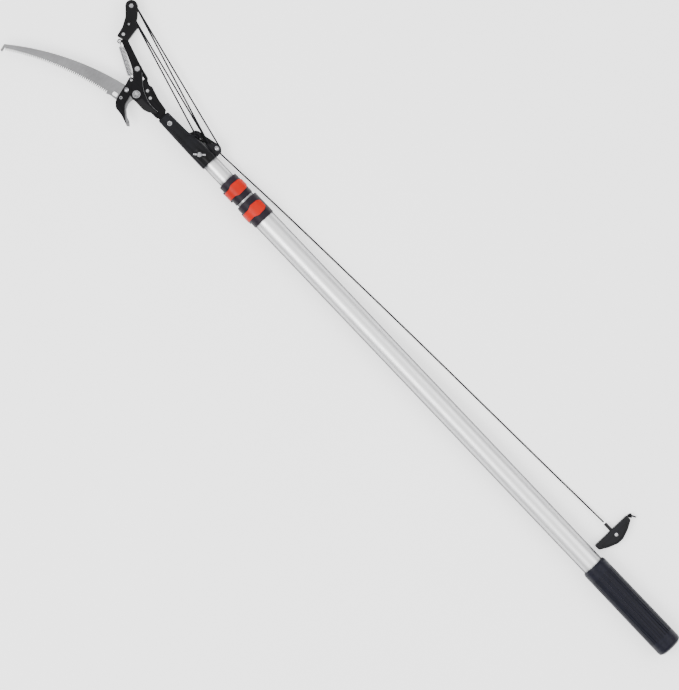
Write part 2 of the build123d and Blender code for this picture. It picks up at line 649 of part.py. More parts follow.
arm_in_housing = (plate(housing_corners, *ARM_Z) + disc(HEAD_SHEAVE, 10.4, *ARM_Z)) - pocket(10.6, -10, 0)
arm_strip = plate(
    [
        (84.0, -44.0, 0),
        (28.0, -26.6, 20),
        (8.0, -22.3, 4),
        (-3.0, -11.5, 5),
        (-2.0, 1.5, 5),
        (7.0, 2.5, 5),
        (26.0, -8.0, 20),
        (45.0, -17.6, 30),
        (62.0, -24.6, 30),
        (84.0, -32.5, 0),
    ],
    *ARM_Z,
)
arm = joined(arm_in_housing, arm_strip, disc(SPRING_EYE, 3.9, *ARM_Z), disc(ARM_PIVOT, 6.5, *ARM_Z))
arm = arm - disc(ARM_PIVOT, 3.0 + SLIDE_GAP, -10, 0) - disc(SPRING_EYE, 2.0, -10, 0)
arm = arm - disc(HOUSING_BOLT, 1.6, -10, 0) - disc(HOUSING_SCREW, 1.6, -10, 0)
arm = arm - plate([(16.0, -17.8, 0.5), (10.4, -16.6, 0.3), (10.0, -12.5, 0.5)], -10, 0)
slot_way = toward(ARM_PIVOT, DRIVE_BOLT)
slot_angle = math.degrees(math.atan2(slot_way[1], slot_way[0]))
slot_mid = (SLOT_REACH[0] + SLOT_REACH[1]) / 2 + 0.1
slot_length = SLOT_REACH[1] - SLOT_REACH[0] + 0.6
slot = extrude(SlotCenterToCenter(slot_length, 6.3), 6)
slot = Pos(ARM_PIVOT[0], ARM_PIVOT[1], -8) * Rot(0, 0, slot_angle) * Pos(slot_mid, 0, 0) * slot
PARTS["lever_arm"] = arm - slot
PARTS["housing_hex_bolt"] = disc(HOUSING_BOLT, 1.6, -14.5, 1.1) + hex_nut(HOUSING_BOLT, 5.5, 1.0, 3.6)
socket_screw = disc(HOUSING_SCREW, 1.6, -14.5, -1.5) + studded(HOUSING_SCREW, 2.4, -1.6, 0.6)
PARTS["housing_socket_screw"] = socket_screw - hex_bar(HOUSING_SCREW, 2.2, -0.4, 4)
PARTS["housing_nuts"] = Compound(
    children=[
        hex_bar(c, 5.5, -15.9, HOUSING_Z[0]) - disc(c, 1.6, -20, 0) for c in (HOUSING_BOLT, HOUSING_SCREW)
    ]
)
PARTS["head_sheave_front"] = sheave(HEAD_SHEAVE, HEAD_SHEAVE_R, HEAD_PITCH_R, 3.0 + SLIDE_GAP, FRONT_ROPE_Z)
PARTS["head_sheave_back"] = sheave(HEAD_SHEAVE, HEAD_SHEAVE_R, HEAD_PITCH_R, 3.0 + SLIDE_GAP, REAR_ROPE_Z)
sheave_pin_head = studded(HEAD_SHEAVE, 3.6, HOUSING_Z[1], 3.8, 0.6)
PARTS["head_sheave_pin"] = disc(HEAD_SHEAVE, 3.0, -14.3, 3.0) + sheave_pin_head

# ---- return spring, in two halves that meet in the middle --------------------------------------
spring_way = toward(SPRING_EYE, SPRING_EAR)
spring_length = math.dist(SPRING_EYE, SPRING_EAR)
spring_angle = math.degrees(math.atan2(spring_way[1], spring_way[0]))
coil_length = spring_length - 2 * SPRING_HOOK
coil_pitch = coil_length / SPRING_TURNS
spring_frame = Pos(SPRING_EYE[0], SPRING_EYE[1], SPRING_Z) * Rot(0, 0, spring_angle)


def spring_half(top_z):
    """Half the coil, its end bent at a ball and turned in to the axis, and a hook whose
    wire rises through the hole at the origin and back over an edge at top_z."""
    path = Helix(pitch=coil_pitch, height=coil_length / 2, radius=SPRING_COIL_R)
    profile = Plane(path @ 0, z_dir=path % 0) * Circle(SPRING_WIRE_R)
    coil = Rot(0, 90, 0) * sweep(profile, path=path, is_frenet=True)
    ball = Pos(0, 0, -SPRING_COIL_R) * Sphere(1.02 * SPRING_WIRE_R)
    turned_in = Pos(0, 0, -SPRING_COIL_R / 2) * Cylinder(SPRING_WIRE_R, SPRING_COIL_R + SPRING_WIRE_R)
    top = top_z + 1.2 - SPRING_Z
    corners = [(SPRING_HOOK, 0, 0), (0, 0, 0), (0, 0, top), (3.6, 0, top)]
    hook, _ = round_tube(corners, [1.1, 1.1], SPRING_WIRE_R)
    return Pos(SPRING_HOOK, 0, 0) * coil + Pos(SPRING_HOOK, 0, 0) * (ball + turned_in) + hook


PARTS["spring_upper"] = spring_frame * spring_half(ARM_Z[1])
PARTS["spring_lower"] = spring_frame * Pos(spring_length, 0, 0) * Rot(0, 0, 180) * spring_half(PLATE_OUT)


# ---- tackle rope: knot, head sheave, turning pin, head sheave, exit sheave -----------------------
def tangent_angle(centre, point, radius, side):
    """Where a line from the point touches a circle, on side -1 (near) or 1 (far)."""
    away = math.atan2(point[1] - centre[1], point[0] - centre[0])
    return away + side * math.acos(radius / math.dist(centre, point))


def wrap_corners(centre, radius, angle_in, angle_out, count):
    """Corners whose fillets of that radius follow the circle between two angles."""
    step = (angle_out - angle_in) / count
    reach = radius / math.cos(step / 2)
    corners = []
    for n in range(count):
        angle = angle_in + (n + 0.5) * step
        corners.append((centre[0] + reach * math.cos(angle), centre[1] + reach * math.sin(angle)))
    return corners


FULL_TURN = 2 * math.pi
knot_end = (-112.0, -15.5, 1.5)
cord_way = toward(CORD_POINTS[0], CORD_POINTS[1])
fairlead = tuple(p - 4.0 * w for p, w in zip(CORD_POINTS[0], cord_way))
turn_out = tuple(p + 2.6 * w for p, w in zip(TURN_PIN, turn_direction))
front_wrap = wrap_corners(
    HEAD_SHEAVE,
    HEAD_PITCH_R,
    tangent_angle(HEAD_SHEAVE, knot_end[:2], HEAD_PITCH_R, -1),
    tangent_angle(HEAD_SHEAVE, TURN_PIN, HEAD_PITCH_R, 1) - FULL_TURN,
    2,
)
exit_in = math.radians(pull_angle) + math.pi / 2
back_wrap = wrap_corners(
    HEAD_SHEAVE,
    HEAD_PITCH_R,
    tangent_angle(HEAD_SHEAVE, TURN_PIN, HEAD_PITCH_R, -1),
    exit_in - FULL_TURN,
    2,
)
exit_out = tangent_angle(EXIT_SHEAVE, fairlead[:2], EXIT_PITCH_R, 1) % FULL_TURN
exit_wrap = wrap_corners(EXIT_SHEAVE, EXIT_PITCH_R, exit_in, exit_out, 1)
rope_points = [
    knot_end,
    *[(x, y, FRONT_ROPE_Z) for x, y in front_wrap],
    (*turn_out, FRONT_ROPE_Z),
    (*turn_out, REAR_ROPE_Z),
    *[(x, y, REAR_ROPE_Z) for x, y in back_wrap],
    *[(x, y, REAR_ROPE_Z) for x, y in exit_wrap],
    fairlead,
    CORD_POINTS[0],
]
HEAD_BEND = HEAD_PITCH_R - 0.02
PIN_BEND = (FRONT_ROPE_Z - REAR_ROPE_Z) / 2 - 0.02
rope_radii = [HEAD_BEND, HEAD_BEND, PIN_BEND, PIN_BEND, HEAD_BEND, HEAD_BEND, EXIT_PITCH_R - 0.02, 3.0]
tackle_rope, tackle_length = round_tube(rope_points, rope_radii, ROPE_R)
PARTS["tackle_rope"] = tackle_rope

# the knot that ends the rope on the adapter, with its short tail
knot_core = Pos(*KNOT) * Rot(0, 20, -50) * Torus(3.6, 2.0)
knot_cross = Pos(*KNOT) * Rot(70, 10, -40) * Torus(3.2, 1.9)
knot_tail, _ = round_tube([KNOT, (-112.0, -8.0, 9.5), (-107.5, -4.0, 12.1)], [4.0], ROPE_R)
knot_loop, _ = round_tube(
    [KNOT, (-124.5, -17.0, 3.0), (-127.0, -16.5, -3.0), (-127.0, -16.5, -10.0)], [2.5, 2.5], ROPE_R
)
PARTS["adapter_knot"] = joined(knot_core, knot_cross, knot_tail, knot_loop, Pos(*KNOT) * Sphere(3.4))

# ---- pull cord: a plain tube of straight runs joined by tangent arcs -------------------------------
cord_radii = []
for before, here, after in zip(CORD_POINTS, CORD_POINTS[1:], CORD_POINTS[2:]):
    way_in = toward(before, here)
    way_out = toward(here, after)
    turn = math.acos(sum(a * b for a, b in zip(way_in, way_out)))
    shorter = min(math.dist(before, here), math.dist(here, after))
    cord_radii.append(0.45 * shorter / math.tan(turn / 2))
pull_cord, cord_length = round_tube(CORD_POINTS, cord_radii, ROPE_R)
PARTS["pull_cord"] = pull_cord

# ---- pull handle -----------------------------------------------------------------------------------
hub_x, hub_y, hub_z = HANDLE_HUB
handle = plate(
    [
        (hub_x + 6.5, hub_y - HANDLE_HALF, 3),
        (hub_x + 6.5, hub_y + HANDLE_HALF, 3),
        (hub_x - 4.5, hub_y + HANDLE_HALF, 5),
        (hub_x - 13, hub_y + 22, 16),
        (hub_x - 19, hub_y + 6, 14),
        (hub_x - 19, hub_y - 6, 14),
        (hub_x - 13, hub_y - 22, 16),
        (hub_x - 4.5, hub_y - HANDLE_HALF, 5),
    ],
    FLOOR_Z,
    FLOOR_Z + HANDLE_HEIGHT,
)
handle = fillet(handle.edges().group_by(Axis.Z)[-1], HANDLE_ROUND)
handle = fillet(handle.edges().group_by(Axis.Z)[0], HANDLE_ROUND)
hole = (hub_x - 6, hub_y - 2)
recess = [
    (hub_x - 2.5, hub_y - 31, 1),
    (hub_x - 2.5, hub_y + 31, 1),
    (hub_x - 10, hub_y + 21, 16),
    (hub_x - 15.8, hub_y + 5.5, 12),
    (hub_x - 15.8, hub_y - 5.5, 12),
    (hub_x - 10, hub_y - 21, 16),
]
for low, high in (
    (FLOOR_Z - 1, FLOOR_Z + HANDLE_RECESS),
    (FLOOR_Z + HANDLE_HEIGHT - HANDLE_RECESS, FLOOR_Z + HANDLE_HEIGHT + 1),
):
    handle = handle - (plate(recess, low, high) - disc(hole, 5.0, low, high))
handle = handle - disc(hole, 3.0, FLOOR_Z - 1, FLOOR_Z + HANDLE_HEIGHT + 1)
for n in range(HANDLE_RIBS):
    rib_y = hub_y + 8 + n * 2.6
    for mirrored in (rib_y, 2 * hub_y - rib_y):
        handle = handle - Pos(hub_x + 6.5, mirrored, hub_z) * Box(1.6, 1.0, HANDLE_HEIGHT + 2)
cord_y = CORD_POINTS[-1][1]
cord_end = CORD_POINTS[-1][0]
stem = bar_x(3.0, hub_x, hub_x + 20.5, cord_y, hub_z)
cord_hole = bar_x(ROPE_R + 0.3, cord_end - 14, cord_end + 6, cord_y, hub_z)
PARTS["pull_handle"] = joined(handle, stem) - cord_hole
tail_x = hub_x - 1
tail_y = hub_y - HANDLE_HALF - 3.0
tail_points = [
    (tail_x, tail_y, hub_z),
    (tail_x - 3, tail_y - 3.5, hub_z - 3),
    (tail_x - 10, tail_y - 6, hub_z - 5),
]
handle_tail, _ = round_tube(tail_points, [2.0], ROPE_R)
handle_knot = joined(
    Pos(tail_x, tail_y, hub_z) * Rot(60, 0, 0) * Torus(2.2, 1.5),
    Pos(tail_x, tail_y, hub_z) * Sphere(2.9),
    handle_tail,
)
PARTS["handle_knot"] = handle_knot

# ---- shift to rest on Z = 0, centred under the object, and write ---------------------------------------
LOOSE_CORD = ("pull_cord",)
boxes = [shape.bounding_box() for node, shape in PARTS.items() if node not in LOOSE_CORD]
SHIFT = (
    -round((min(b.min.X for b in boxes) + max(b.max.X for b in boxes)) / 2, 2),
    -round((min(b.min.Y for b in boxes) + max(b.max.Y for b in boxes)) / 2, 2),
    -FLOOR_Z,
)

os.makedirs("parts", exist_ok=True)
for node, shape in PARTS.items():
    placed = Pos(*SHIFT) * shape
    placed.label = node
    export_step(placed, f"parts/{node}.step")

print("nodes", len(PARTS))
print("shift", SHIFT)
print("lowest", min(b.min.Z for b in boxes) - FLOOR_Z)
print("pull cord radii", [round(r, 1) for r in cord_radii])
section = math.pi * ROPE_R**2
cord_ratio = pull_cord.volume / (section * cord_length)
print("pull cord length", round(cord_length, 1), "volume ratio", round(cord_ratio, 4))
tackle_ratio = tackle_rope.volume / (section * tackle_length)
print("tackle rope length", round(tackle_length, 1), "volume ratio", round(tackle_ratio, 4))
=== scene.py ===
import json
import math

import bpy
from mathutils import Matrix, Vector


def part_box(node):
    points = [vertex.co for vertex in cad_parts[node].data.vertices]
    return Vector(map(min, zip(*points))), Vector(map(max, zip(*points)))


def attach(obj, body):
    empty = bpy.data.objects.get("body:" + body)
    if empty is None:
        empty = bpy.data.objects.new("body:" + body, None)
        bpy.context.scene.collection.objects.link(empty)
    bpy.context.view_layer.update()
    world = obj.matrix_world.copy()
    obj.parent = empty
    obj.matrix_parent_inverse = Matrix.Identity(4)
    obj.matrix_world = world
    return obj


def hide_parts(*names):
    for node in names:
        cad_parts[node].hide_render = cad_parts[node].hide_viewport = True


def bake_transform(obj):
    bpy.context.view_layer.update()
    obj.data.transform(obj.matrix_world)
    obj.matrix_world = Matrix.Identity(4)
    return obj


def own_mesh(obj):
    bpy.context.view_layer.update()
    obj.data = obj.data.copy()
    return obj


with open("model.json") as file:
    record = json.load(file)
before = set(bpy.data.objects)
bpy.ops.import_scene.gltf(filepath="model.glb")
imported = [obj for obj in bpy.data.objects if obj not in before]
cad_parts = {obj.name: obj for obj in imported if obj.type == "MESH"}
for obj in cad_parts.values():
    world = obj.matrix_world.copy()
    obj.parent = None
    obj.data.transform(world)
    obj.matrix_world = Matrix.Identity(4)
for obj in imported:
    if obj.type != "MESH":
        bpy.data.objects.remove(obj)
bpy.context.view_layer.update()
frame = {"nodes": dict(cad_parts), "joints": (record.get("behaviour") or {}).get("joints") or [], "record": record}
record = frame["record"]
joints = {j["name"]: j for j in frame["joints"]}

# ---- places --------------------------------------------------------------------------
# The head is described in millimetres from the lopper's main bolt axis, with the
# pole's axis at y = 0 and z = 0. at() turns that into the row frame in metres.
MAIN_BOLT_MM = Vector((0.0, 10.8, 5.0))
ORIGIN = Vector(joints["blade_pivot"]["pos_m"]) - MAIN_BOLT_MM / 1000


def at(x, y, z=0.0):
    return ORIGIN + Vector((x, y, z)) / 1000


def from_joint(name):
    """A joint's position in head millimetres."""
    return (Vector(joints[name]["pos_m"]) - ORIGIN) * 1000


ROPE_R = 1.4
FRONT_Z = -2.9
BACK_Z = -8.1
HEAD_SHEAVE = from_joint("front_wheel_spin")
EXIT_SHEAVE = from_joint("exit_wheel_spin")
HEAD_PITCH = 6.5
EXIT_PITCH = 6.0
TURN_PIN = Vector((-145.5, -18.7, 0.0))
KNOT = Vector((-118.5, -14.5, 5.2))
KNOT_END = Vector((-112.0, -15.5, 1.5))
HANDLE_LOW, HANDLE_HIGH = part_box("pull_handle")

# ---- camera: straight above the flat tool, pole running up and to the left -----------
PHOTO_CENTRE = at(-537.7, 53.5)
PHOTO_HEIGHT_M = 1.155
LENS_MM = 200.0
SENSOR_MM = 36.0
right = Vector((-0.6889, -0.7248, 0.0)).normalized()
up = Vector((0.7248, -0.6889, 0.0)).normalized()
camera_data = bpy.data.cameras.new("camera")
camera_data.lens = LENS_MM
camera_data.sensor_width = SENSOR_MM
camera_data.clip_end = 50.0
camera = bpy.data.objects.new("camera", camera_data)
bpy.context.scene.collection.objects.link(camera)
turn = Matrix((right, up, right.cross(up))).transposed().to_4x4()
reach = PHOTO_HEIGHT_M * LENS_MM / SENSOR_MM
camera.matrix_world = Matrix.Translation(PHOTO_CENTRE + Vector((0, 0, reach))) @ turn
bpy.context.scene.camera = camera


# ---- materials -----------------------------------------------------------------------
EDGE_ROUND_M = 0.0003
MIX_A, MIX_B, MIX_RESULT = 6, 7, 2


def fill_ramp(node, stops):
    while len(node.color_ramp.elements) < len(stops):
        node.color_ramp.elements.new(0.5)
    for element, (position, colour) in zip(node.color_ramp.elements, stops):
        element.position = position
        element.color = (*colour, 1.0)


class Finish:
    """A node material built step by step on a Principled shader, in object coordinates."""

    def __init__(self, name, metallic=0.0, roughness=0.5, specular=0.5):
        self.material = bpy.data.materials.new(name)
        self.material.use_nodes = True
        self.tree = self.material.node_tree
        self.shader = self.tree.nodes["Principled BSDF"]
        self.shader.inputs["Metallic"].default_value = metallic
        self.shader.inputs["Roughness"].default_value = roughness
        self.shader.inputs["Specular IOR Level"].default_value = specular
        self.coords = self.tree.nodes.new("ShaderNodeTexCoord")
        edge = self.tree.nodes.new("ShaderNodeBevel")
        edge.samples = 4
        edge.inputs["Radius"].default_value = EDGE_ROUND_M
        self.normal = edge.outputs["Normal"]
        self.tree.links.new(self.normal, self.shader.inputs["Normal"])

    def link(self, output, node_input):
        self.tree.links.new(output, node_input)

    def mapped(self, scale, coords="Object"):
        mapping = self.tree.nodes.new("ShaderNodeMapping")
        mapping.inputs["Scale"].default_value = scale
        self.link(self.coords.outputs[coords], mapping.inputs["Vector"])
        return mapping.outputs["Vector"]

    def noise(self, scale, detail=4.0):
        node = self.tree.nodes.new("ShaderNodeTexNoise")
        node.inputs["Scale"].default_value = 1.0
        node.inputs["Detail"].default_value = detail
        self.link(self.mapped(scale), node.inputs["Vector"])
        return node.outputs["Fac"]

    def ramp(self, value, stops):
        node = self.tree.nodes.new("ShaderNodeValToRGB")
        fill_ramp(node, stops)
        self.link(value, node.inputs["Fac"])
        return node.outputs["Color"]

    def colour(self, value, dark, light, low=0.3, high=0.7):
        self.base = self.ramp(value, [(low, dark), (high, light)])
        self.link(self.base, self.shader.inputs["Base Color"])

    def tint(self, value, colour, low, high):
        """Multiplies the base colour by a colour that fades to white as the value rises."""
        node = self.tree.nodes.new("ShaderNodeMix")
        node.data_type = "RGBA"
        node.blend_type = "MULTIPLY"
        node.inputs["Factor"].default_value = 1.0
        self.link(self.base, node.inputs[MIX_A])
        self.link(self.ramp(value, [(low, colour), (high, (1.0, 1.0, 1.0))]), node.inputs[MIX_B])
        self.base = node.outputs[MIX_RESULT]
        self.link(self.base, self.shader.inputs["Base Color"])

    def shade(self, reach, colour, low=0.35, high=0.95):
        """Darkens the surface where neighbours or the floor hide it from the light."""
        node = self.tree.nodes.new("ShaderNodeAmbientOcclusion")
        node.samples = 8
        node.inputs["Distance"].default_value = reach
        self.tint(node.outputs["AO"], colour, low, high)

    def rough(self, value, low, high):
        node = self.tree.nodes.new("ShaderNodeMapRange")
        node.inputs["To Min"].default_value = low
        node.inputs["To Max"].default_value = high
        self.link(value, node.inputs["Value"])
        self.link(node.outputs["Result"], self.shader.inputs["Roughness"])

    def bump(self, value, strength, depth_mm):
        node = self.tree.nodes.new("ShaderNodeBump")
        node.inputs["Strength"].default_value = strength
        node.inputs["Distance"].default_value = depth_mm / 1000
        self.link(value, node.inputs["Height"])
        self.link(self.normal, node.inputs["Normal"])
        self.normal = node.outputs["Normal"]
        self.link(self.normal, self.shader.inputs["Normal"])

    def math(self, operation, a, b):
        node = self.tree.nodes.new("ShaderNodeMath")
        node.operation = operation
        for socket, value in zip(node.inputs, (a, b)):
            if isinstance(value, (int, float)):
                socket.default_value = value
            else:
                self.link(value, socket)
        return node.outputs["Value"]

    def wave(self, scale, direction, coords="Object"):
        node = self.tree.nodes.new("ShaderNodeTexWave")
        node.bands_direction = direction
        node.inputs["Scale"].default_value = 1.0
        self.link(self.mapped(scale, coords), node.inputs["Vector"])
        return node.outputs["Fac"]


def brushed(name, dark, light, roughness, grain, reach=0.003):
    finish = Finish(name, metallic=1.0)
    lines = finish.noise(grain, 6.0)
    clouds = finish.noise((12, 12, 12), 3.0)
    finish.colour(finish.math("MULTIPLY", lines, finish.math("ADD", clouds, 0.5)), dark, light)
    finish.rough(lines, roughness - 0.07, roughness + 0.1)
    finish.bump(lines, 0.25, 0.03)
    # painted shade: occlusion darkens the base colour in hollows and where parts meet
    finish.shade(reach, (0.12, 0.12, 0.12))
    return finish.material


def moulded(name, dark, light, roughness, grain=900.0, depth=0.04, specular=0.13):
    finish = Finish(name, specular=specular)
    clouds = finish.noise((25, 25, 25), 4.0)
    grain_value = finish.noise((grain, grain, grain), 3.0)
    finish.colour(clouds, dark, light)
    finish.rough(clouds, roughness - 0.06, roughness + 0.08)
    finish.bump(grain_value, 0.35, depth)
    return finish.material


def pole_finish():
    """Satin anodised tube with faint lines drawn along it and small scuffs.

    The dark edge tint and the wide shading are picked as painted shade: they darken the tube's sides,
    which would otherwise mirror the bright floor.
    """
    finish = Finish("pole_aluminium", metallic=1.0)
    finish.shader.inputs["Specular Tint"].default_value = (0.12, 0.12, 0.125, 1.0)
    drawn = finish.noise((3, 700, 700), 5.0)
    scuffs = finish.noise((60, 8, 8), 6.0)
    finish.colour(drawn, (0.76, 0.76, 0.765), (0.84, 0.84, 0.845), 0.2, 0.8)
    finish.shade(0.2, (0.20, 0.20, 0.205), 0.70, 0.93)
    finish.rough(scuffs, 0.34, 0.46)
    finish.bump(drawn, 0.12, 0.02)
    return finish.material


def rope_finish():
    """Two slanting sets of yarns crossing along the rope, from its own map."""
    finish = Finish("rope_fibre", specular=0.1)
    one = finish.wave((6.0, 330.0, 0.0), "DIAGONAL", "UV")
    other = finish.wave((-6.0, 330.0, 0.0), "DIAGONAL", "UV")
    weave = finish.math("MAXIMUM", one, other)
    fuzz = finish.noise((4000, 4000, 4000), 2.0)
    worn = finish.math("MULTIPLY", weave, finish.math("ADD", fuzz, 0.4))
    finish.colour(worn, (0.002, 0.002, 0.0025), (0.016, 0.016, 0.019), 0.2, 0.95)
    finish.rough(fuzz, 0.6, 0.9)
    finish.bump(weave, 0.8, 0.25)
    return finish.material


def coated_steel():
    """Black low-friction coating with an orange-peel skin and faint rubbed streaks."""
    finish = Finish("black_steel", specular=0.1)
    peel = finish.noise((1500, 1500, 1500), 2.0)
    streaks = finish.noise((30, 260, 30), 6.0)
    finish.colour(streaks, (0.0012, 0.0011, 0.0015), (0.004, 0.0038, 0.005))
    finish.rough(streaks, 0.24, 0.4)
    finish.bump(peel, 0.2, 0.03)
    return finish.material


def saw_finish():
    """Ground saw steel: fine cross lines over soft bands, and painted shade on the tooth flanks."""
    finish = Finish("saw_steel", metallic=1.0)
    ground = finish.noise((420, 160, 20), 6.0)
    bands = finish.noise((16, 16, 4), 2.0)
    fine = finish.math("MULTIPLY", ground, 0.35)
    soft = finish.math("MULTIPLY", bands, 0.65)
    mixed = finish.math("ADD", fine, soft)
    finish.colour(mixed, (0.15, 0.15, 0.153), (0.235, 0.235, 0.24), 0.3, 0.7)
    finish.rough(ground, 0.3, 0.44)
    finish.bump(ground, 0.2, 0.02)
    # painted shade: faces that do not lie flat, the tooth flanks above all, are darkened in the base colour
    facing = finish.tree.nodes.new("ShaderNodeNewGeometry")
    split = finish.tree.nodes.new("ShaderNodeSeparateXYZ")
    finish.link(facing.outputs["True Normal"], split.inputs["Vector"])
    flat = finish.math("ABSOLUTE", split.outputs["Z"], 0.0)
    finish.tint(flat, (0.05, 0.05, 0.055), 0.9, 0.99)
    return finish.material


def grip_finish():
    """Soft matt rubber with fine cross lines between the moulded ribs, and painted shade in its hollows."""
    finish = Finish("grip_rubber", specular=0.17)
    cross = finish.wave((1400, 0, 0), "X")
    dust = finish.noise((260, 260, 260), 5.0)
    finish.colour(dust, (0.0022, 0.0025, 0.007), (0.0055, 0.006, 0.014))
    finish.rough(dust, 0.36, 0.5)
    finish.shade(0.004, (0.3, 0.3, 0.3))
    finish.bump(cross, 0.12, 0.1)
    return finish.material


BLACK = (0.0012, 0.0012, 0.0016)
SOFT_BLACK = (0.004, 0.004, 0.0052)
FINISHES = {
    "pole_aluminium": pole_finish(),
    "grip_rubber": grip_finish(),
    "collar_plastic": moulded(
        "collar_plastic", (0.0085, 0.006, 0.0095), (0.016, 0.011, 0.0175), 0.42, 700.0
    ),
    "lever_plastic": moulded(
        "lever_plastic", (0.40, 0.0055, 0.0003), (0.50, 0.009, 0.0006), 0.34, 1100.0
    ),
    "bush_plastic": moulded("bush_plastic", (0.2, 0.2, 0.21), (0.3, 0.3, 0.31), 0.5),
    "adapter_plastic": moulded(
        "adapter_plastic", BLACK, (0.005, 0.0053, 0.008), 0.36, 650.0, 0.05, 0.16
    ),
    "black_steel": coated_steel(),
    "saw_steel": saw_finish(),
    "counter_steel": brushed(
        "counter_steel", (0.13, 0.13, 0.133), (0.22, 0.22, 0.225), 0.32, (300, 40, 40)
    ),
    "zinc": brushed("zinc", (0.22, 0.22, 0.23), (0.58, 0.58, 0.60), 0.12, (260, 260, 60)),
    "rivet_steel": brushed(
        "rivet_steel", (0.24, 0.24, 0.245), (0.52, 0.52, 0.53), 0.24, (300, 300, 60)
    ),
    # the spring's long shade reach paints shade on the back turns seen between the front ones
    "spring_steel": brushed(
        "spring_steel", (0.26, 0.26, 0.27), (0.6, 0.6, 0.62), 0.14, (900, 900, 900), reach=0.012
    ),
    "housing_plastic": moulded("housing_plastic", BLACK, SOFT_BLACK, 0.36, 800.0, 0.04),
    "sheave_plastic": moulded("sheave_plastic", (0.007, 0.007, 0.008), (0.014, 0.014, 0.016), 0.42),
    "rope_fibre": rope_finish(),
    "handle_plastic": moulded(
        "handle_plastic", BLACK, (0.003, 0.0033, 0.0055), 0.2, 300.0, 0.02, 0.26
    ),
}
for entry in record["subparts"]:
    node = frame["nodes"][entry["node"]]
    node.data.materials.clear()
    node.data.materials.append(FINISHES[entry["material_slot"]])


# ---- tubes along a line --------------------------------------------------------------
YARN_LAY_M = 0.0042
ROPE_STEP_M = 0.0009


def frames_along(points):
    """A direction and two square normals at each point, carried along without twist."""
    ways = []
    for n in range(len(points)):
        before = points[max(n - 1, 0)]
        after = points[min(n + 1, len(points) - 1)]
        ways.append((after - before).normalized())
    helper = Vector((0, 0, 1)) if abs(ways[0].z) < 0.9 else Vector((1, 0, 0))
    normal = (helper - ways[0] * helper.dot(ways[0])).normalized()
    result = []
    for way in ways:
        normal = (normal - way * normal.dot(way)).normalized()
        result.append((way, normal, way.cross(normal)))
    return result


def tube(name, points, radius, sides, slot, ridges=0.0):
    """A closed round tube; ridges raise two crossing sets of yarns on it."""
    verts = []
    along = [0.0]
    for a, b in zip(points, points[1:]):
        along.append(along[-1] + (b - a).length)
    for point, (way, one, two), length in zip(points, frames_along(points), along):
        for k in range(sides):
            angle = 2 * math.pi * k / sides
            twist = 2 * math.pi * length / YARN_LAY_M
            lift = max(math.sin(4 * angle + twist), math.sin(4 * angle - twist))
            size = radius * (1 - ridges + ridges * lift)
            verts.append(point + (one * math.cos(angle) + two * math.sin(angle)) * size)
    faces = []
    rings = len(points)
    for n in range(rings - 1):
        for k in range(sides):
            k2 = (k + 1) % sides
            faces.append((n * sides + k, n * sides + k2, (n + 1) * sides + k2, (n + 1) * sides + k))
    faces.append(tuple(reversed(range(sides))))
    faces.append(tuple((rings - 1) * sides + k for k in range(sides)))
    mesh = bpy.data.meshes.new(name)
    mesh.from_pydata(verts, [], faces)
    uv = mesh.uv_layers.new(name="along")
    for polygon in mesh.polygons:
        for corner in polygon.loop_indices:
            vertex = mesh.loops[corner].vertex_index
            ring, side = divmod(vertex, sides)
            uv.data[corner].uv = (side / sides, along[ring])
        polygon.use_smooth = len(polygon.vertices) == 4
    obj = bpy.data.objects.new(name, mesh)
    bpy.context.scene.collection.objects.link(obj)
    mesh.materials.append(FINISHES[slot])
    return obj


def line(start, end, step):
    count = max(2, int((end - start).length / step))
    return [start.lerp(end, n / count) for n in range(count + 1)]


def rope(name, points, body):
    piece = tube(name, points, ROPE_R / 1000, 16, "rope_fibre", ridges=0.07)
    if body:
        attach(piece, body)
    return piece


# ---- the pull cord: a loose rope from the adapter to the handle ----------------------
CORD_ROUTE = [
    at(-170.0, -23.0, BACK_Z),
    at(-222.0, -26.2, -14.0),
    at(-290.0, -31.0, -20.0),
    at(-410.0, -37.0, -21.4),
    at(-620.0, -46.6, -21.5),
    at(-830.0, -54.2, -21.5),
    at(-950.0, -58.6, -21.4),
    at(-1010.0, -61.2, -19.4),
    at(-1059.0, -63.0, -15.5),
]


def smooth_route(name, route, resolution):
    """Points along a quadratic NURBS through a route, read from the curve itself."""
    curve = bpy.data.curves.new(name, "CURVE")
    curve.dimensions = "3D"
    curve.resolution_u = resolution
    spline = curve.splines.new("NURBS")
    spline.points.add(len(route) - 1)
    for point, place in zip(spline.points, route):
        point.co = (*place, 1.0)
    spline.order_u = 3
    spline.use_endpoint_u = True
    holder = bpy.data.objects.new(name, curve)
    bpy.context.scene.collection.objects.link(holder)
    bpy.context.view_layer.update()
    depsgraph = bpy.context.evaluated_depsgraph_get()
    read = bpy.data.meshes.new_from_object(holder.evaluated_get(depsgraph))
    points = [vertex.co.copy() for vertex in read.vertices]
    bpy.data.objects.remove(holder)
    return points


def resample(points, step):
    """Evenly spaced points on the same line."""
    result = [points[0]]
    left = step
    for a, b in zip(points, points[1:]):
        length = (b - a).length
        done = 0.0
        while length - done >= left:
            done += left
            result.append(a.lerp(b, done / length))
            left = step
        left -= length - done
    result.append(points[-1])
    return result


cord_line = resample(smooth_route("cord_route", CORD_ROUTE, 60), ROPE_STEP_M)
pull_cord = rope("pull_cord_braid", cord_line, None)
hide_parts("pull_cord")
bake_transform(pull_cord)


# ---- tackle rope ---------------------------------------------------------------------
def tangent_angle(centre, point, radius, side):
    away = math.atan2(point.y - centre.y, point.x - centre.x)
    reach_mm = math.hypot(point.x - centre.x, point.y - centre.y)
    return away + side * math.acos(radius / reach_mm)


def on_circle(centre, radius, angle, z):
    return Vector((centre.x + radius * math.cos(angle), centre.y + radius * math.sin(angle), z))


def to_row(points):
    return [at(*p) for p in points]


def arc(centre, radius, start, end, z, count=40):
    return [on_circle(centre, radius, start + (end - start) * n / count, z) for n in range(count + 1)]


